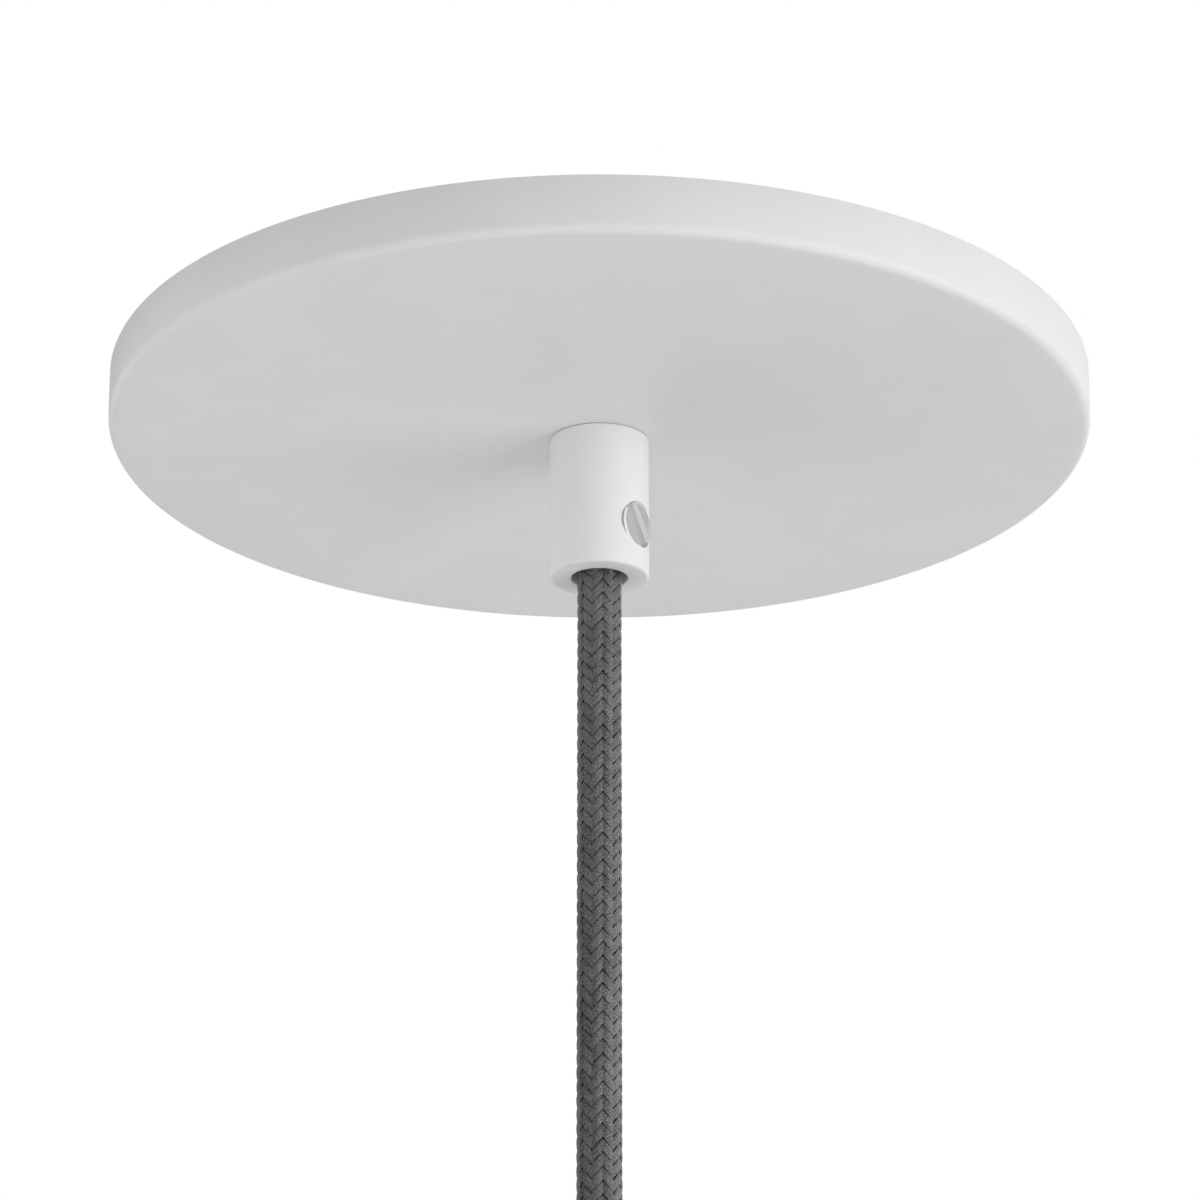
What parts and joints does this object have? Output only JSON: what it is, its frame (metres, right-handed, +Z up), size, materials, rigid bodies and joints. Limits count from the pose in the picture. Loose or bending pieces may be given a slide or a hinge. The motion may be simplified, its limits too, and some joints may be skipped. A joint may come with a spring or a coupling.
{
  "type": "recessed ceiling canopy",
  "caption": "Shallow round white ceiling canopy that covers a wiring recess, with a steel crossbar, a cord grip with a clear clamping screw, and a braided pendant cord.",
  "frame": {"origin": "on the vertical axis, in the plane of the ceiling, which is the upper edge of the cover's rim", "axes": "+Z up into the ceiling, -Z down along the pendant cord, -Y towards the viewer, +X to the right"},
  "size_m": [0.12, 0.12, 0.1465],
  "materials": {
    "powder_coat": "satin white powder coat on steel",
    "white_polyamide": "fine moulded texture",
    "clear_nylon": "clear, slightly hazy, glossy",
    "zinc_steel": "zinc plated",
    "brass": "plain turned",
    "black_rubber": "matt",
    "tinned_copper": "tinned",
    "grey_braid": "herringbone textile braid",
    "brown_sheath": "smooth",
    "blue_sheath": "smooth",
    "earth_sheath": "green with yellow stripes"
  },
  "bodies": {
    "root": {"canopy_cover": "powder_coat", "cord_grip": "white_polyamide", "terminal_block": "white_polyamide", "grip_screw": "clear_nylon", "nipple": "zinc_steel", "nipple_nut_lower": "zinc_steel", "nipple_nut_upper": "zinc_steel", "nipple_washer": "zinc_steel", "crossbar": "zinc_steel", "ceiling_screw_left": "zinc_steel", "ceiling_screw_right": "zinc_steel", "terminal_screw_left_1": "zinc_steel", "terminal_screw_right_1": "zinc_steel", "terminal_screw_left_2": "zinc_steel", "terminal_screw_right_2": "zinc_steel", "terminal_screw_left_3": "zinc_steel", "terminal_screw_right_3": "zinc_steel", "block_screw_front": "zinc_steel", "block_screw_back": "zinc_steel", "earth_washer": "zinc_steel", "earth_screw": "zinc_steel", "terminal_sleeve_1": "brass", "terminal_sleeve_2": "brass", "terminal_sleeve_3": "brass", "end_sleeve": "black_rubber", "earth_tag": "tinned_copper", "ferrule_brown": "tinned_copper", "ferrule_earth": "tinned_copper", "ferrule_blue": "tinned_copper", "pendant_cord": "grey_braid", "conductor_brown": "brown_sheath", "tail_brown": "brown_sheath", "conductor_blue": "blue_sheath", "tail_blue": "blue_sheath", "conductor_earth": "earth_sheath", "earth_lead": "earth_sheath", "tail_earth": "earth_sheath"}
  },
  "joints": []
}
